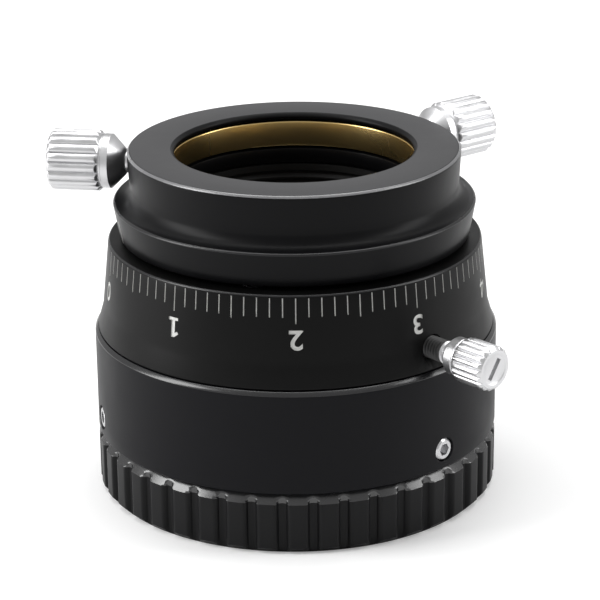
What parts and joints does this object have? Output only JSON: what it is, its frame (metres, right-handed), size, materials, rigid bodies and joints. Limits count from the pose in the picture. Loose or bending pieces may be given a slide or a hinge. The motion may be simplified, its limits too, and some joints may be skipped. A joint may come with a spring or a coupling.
{
  "type": "helical focuser",
  "caption": "Helical focuser with a T2 socket below, a turning scale drum, and a thumbscrew eyepiece clamp on a sliding tube.",
  "frame": {"origin": "on the optical axis, in the plane of the ribbed ring's lower face, where the telescope's T2 thread enters", "axes": "+Z along the optical axis towards the eyepiece; -Y towards the side that shows the number 2 of the scale at rest"},
  "size_m": [0.0617, 0.0562, 0.0481],
  "materials": {
    "black_anodised": "black anodised, fine satin",
    "bare_aluminium": "turned, bare",
    "bright_steel": "bright plated",
    "brass": "turned",
    "sliding_plastic": "matt",
    "spring_steel": "plain"
  },
  "bodies": {
    "adapter": {"adapter_ring": "black_anodised"},
    "base": {"base_housing": "black_anodised", "base_set_screw_1": "bright_steel", "base_set_screw_2": "bright_steel", "base_set_screw_3": "bright_steel", "stop_pin": "bright_steel", "guide_ring": "bare_aluminium", "guide_screw_1": "bright_steel", "guide_screw_2": "bright_steel", "guide_screw_3": "bright_steel", "thrust_washer": "sliding_plastic"},
    "focus": {"scale_drum": "black_anodised", "helicoid_nut": "bare_aluminium", "retaining_ring": "bare_aluminium", "wave_washer": "spring_steel", "drum_screw_1": "bright_steel", "drum_screw_2": "bright_steel", "drum_screw_3": "bright_steel"},
    "draw": {"drawtube": "black_anodised", "clamp_head": "black_anodised", "head_set_screw": "bright_steel", "compression_ring": "brass"},
    "lock_pad": {"lock_tip": "brass"},
    "lock_knob": {"lock_screw": "bright_steel"},
    "clamp_pad_1": {"clamp_tip_1": "brass"},
    "clamp_knob_1": {"clamp_screw_1": "bright_steel"},
    "clamp_pad_2": {"clamp_tip_2": "brass"},
    "clamp_knob_2": {"clamp_screw_2": "bright_steel"}
  },
  "joints": [
    {"name": "base_rotation", "type": "hinge", "parent": "adapter", "child": "base", "pos_m": [0, 0, 0.011], "axis": [0, 0, 1], "continuous": true},
    {"name": "focus_turn", "type": "hinge", "parent": "base", "child": "focus", "pos_m": [0, 0, 0.024], "axis": [0, 0, 1], "range_deg": [-318.75, 0]},
    {"name": "draw_slide", "type": "slide", "parent": "base", "child": "draw", "axis": [0, 0, 1], "range_m": [0, 0.0085]},
    {"name": "lock_press", "type": "slide", "parent": "focus", "child": "lock_pad", "axis": [0.6756, -0.7373, 0], "range_m": [0, 0.001]},
    {"name": "lock_turn", "type": "hinge", "parent": "lock_pad", "child": "lock_knob", "pos_m": [0.01588, -0.01733, 0.0254], "axis": [0.6756, -0.7373, 0], "continuous": true},
    {"name": "clamp_press_1", "type": "slide", "parent": "draw", "child": "clamp_pad_1", "axis": [-0.9877, 0.1564, 0], "range_m": [0, 0.001]},
    {"name": "clamp_turn_1", "type": "hinge", "parent": "clamp_pad_1", "child": "clamp_knob_1", "pos_m": [-0.01877, 0.00297, 0.0439], "axis": [-0.9877, 0.1564, 0], "continuous": true},
    {"name": "clamp_press_2", "type": "slide", "parent": "draw", "child": "clamp_pad_2", "axis": [0.788, 0.6157, 0], "range_m": [0, 0.001]},
    {"name": "clamp_turn_2", "type": "hinge", "parent": "clamp_pad_2", "child": "clamp_knob_2", "pos_m": [0.01497, 0.0117, 0.0439], "axis": [0.788, 0.6157, 0], "continuous": true}
  ],
  "couplings": [
    {"joint": "draw_slide", "follows": "focus_turn", "m_per_rad": -0.0015278},
    {"joint": "lock_turn", "follows": "lock_press", "rad_per_m": 12566},
    {"joint": "clamp_turn_1", "follows": "clamp_press_1", "rad_per_m": 12566},
    {"joint": "clamp_turn_2", "follows": "clamp_press_2", "rad_per_m": 12566}
  ]
}
